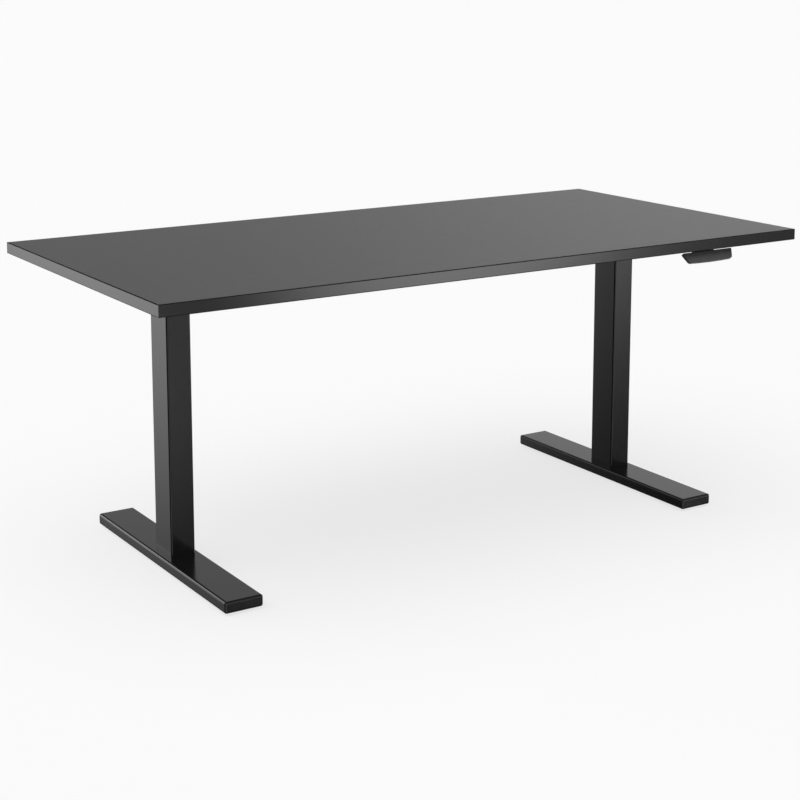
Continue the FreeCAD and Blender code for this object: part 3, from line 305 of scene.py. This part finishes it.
def powder_coat(name, level, rough, peel, grain):
    """Powder coat: a long soft orange peel under a finer grain, both given as waves to the metre."""
    paint = Paint(name, rough, specular=0.45)
    paint.tinted(grey(level), paint.noise(per_metre=peel * 2, detail=3), spread=0.06)
    paint.roughened(paint.noise(per_metre=peel, detail=3), spread=0.015)
    paint.raised(paint.noise(per_metre=peel, detail=2), microns=60, strength=0.5)
    paint.raised(paint.noise(per_metre=grain, detail=2), microns=20, strength=0.5)
    return paint.material


def textured_coat():
    """Coarse structured powder coat, as on the hidden frame."""
    paint = Paint("frame_paint", rough=0.55, specular=0.4)
    paint.tinted(grey(0.014), paint.noise(per_metre=500, detail=3), spread=0.15)
    paint.roughened(paint.noise(per_metre=60, detail=3), spread=0.06)
    paint.raised(paint.cells(per_metre=900, feature="SMOOTH_F1").outputs["Distance"], microns=150)
    paint.raised(paint.noise(per_metre=2500, detail=2), microns=40)
    return paint.material


def moulding(name, level, rough, grain, microns, warmth=0.0):
    """Injection moulding with a spark-eroded grain of so many cells to the metre, over a coarser one."""
    paint = Paint(name, rough, specular=0.45)
    paint.tinted(grey(level, warmth), paint.noise(per_metre=150, detail=3), spread=0.07)
    paint.roughened(paint.noise(per_metre=35, detail=3), spread=0.05)
    paint.raised(paint.cells(per_metre=grain).outputs["Distance"], microns)
    paint.raised(paint.noise(per_metre=grain * 0.35, detail=2), microns)
    return paint.material


def cast_alloy():
    """Die-cast housing: mottled, with a fine sandy skin."""
    paint = Paint("cast_aluminium", rough=0.52, metal=1.0)
    paint.tinted(grey(0.34), paint.noise(per_metre=60, detail=5), spread=0.18)
    paint.roughened(paint.noise(per_metre=90, detail=4), spread=0.09)
    paint.raised(paint.noise(per_metre=1100, detail=3), microns=80)
    return paint.material


def plated(name, level, rough, marks):
    """Plated or drawn steel, with fine marks, drawn out as told, and soft blotches in the plating."""
    paint = Paint(name, rough, metal=1.0)
    drawn = paint.stretched(marks)
    paint.tinted(grey(level, warmth=0.01), paint.noise(per_metre=45, detail=4), spread=0.12)
    paint.roughened(paint.noise(per_metre=900, detail=2, place=drawn), spread=0.10)
    paint.raised(paint.noise(per_metre=1600, detail=2, place=drawn), microns=20)
    return paint.material


def particle_board():
    """Pressed chips in several browns."""
    paint = Paint("core_board", rough=0.85, specular=0.2)
    chips = paint.cells(per_metre=260, place=paint.stretched(CHIP_SHAPE))
    paint.blended(chips.outputs["Color"], CHIP_RANGE, DARK_CHIP, LIGHT_CHIP)
    paint.roughened(paint.noise(per_metre=300, detail=3), spread=0.08)
    paint.raised(chips.outputs["Distance"], microns=400)
    return paint.material


def circuit_board():
    """Solder mask with fine tracks showing through."""
    paint = Paint("circuit_board", rough=0.30)
    tracks = paint.add("ShaderNodeTexBrick", {
        "Vector": paint.place, "Scale": 300.0, "Mortar Size": 0.03,
        "Color1": SOLDER_MASK, "Color2": PALER_MASK, "Mortar": TRACK_GREEN})
    paint.link(tracks.outputs["Color"], "Base Color")
    paint.roughened(paint.noise(per_metre=400, detail=2), spread=0.05)
    paint.raised(tracks.outputs["Fac"], microns=30)
    return paint.material


def make_materials():
    """One material for each slot of the record."""
    return {
        "laminate": laminate(),
        "edge_band": edge_band(),
        "core_board": particle_board(),
        "leg_paint": powder_coat("leg_paint", level=0.006, rough=0.17, peel=420, grain=1900),
        "tube_paint": powder_coat("tube_paint", level=0.006, rough=0.17, peel=420, grain=1900),
        "frame_paint": textured_coat(),
        "cap_plastic": moulding("cap_plastic", level=0.017, rough=0.22, grain=1800, microns=10),
        "cast_aluminium": cast_alloy(),
        "motor_can": powder_coat("motor_can", level=0.010, rough=0.38, peel=500, grain=1500),
        "black_fasteners": plated("black_fasteners", level=0.06, rough=0.42, marks=EVENLY),
        "bright_steel": plated("bright_steel", level=0.55, rough=0.28, marks=ALONG_THE_COLUMNS),
        "bearing_plastic": moulding("bearing_plastic", level=0.68, rough=0.45, grain=1500, microns=20,
                                    warmth=0.03),
        "control_plastic": moulding("control_plastic", level=0.008, rough=0.50, grain=1100, microns=60),
        "handset_plastic": moulding("handset_plastic", level=0.085, rough=0.38, grain=1900, microns=30),
        "circuit_board": circuit_board(),
        "guide_plastic": moulding("guide_plastic", level=0.010, rough=0.38, grain=1700, microns=30),
        "glide_plastic": moulding("glide_plastic", level=0.012, rough=0.55, grain=1300, microns=50),
    }


def paint_nodes(materials):
    """Gives each CAD node the material of its slot in the record."""
    for part in frame["record"]["subparts"]:
        node = frame["nodes"][part["node"]]
        node.data.materials.clear()
        node.data.materials.append(materials[part["material_slot"]])


build_stage()
paint_nodes(make_materials())
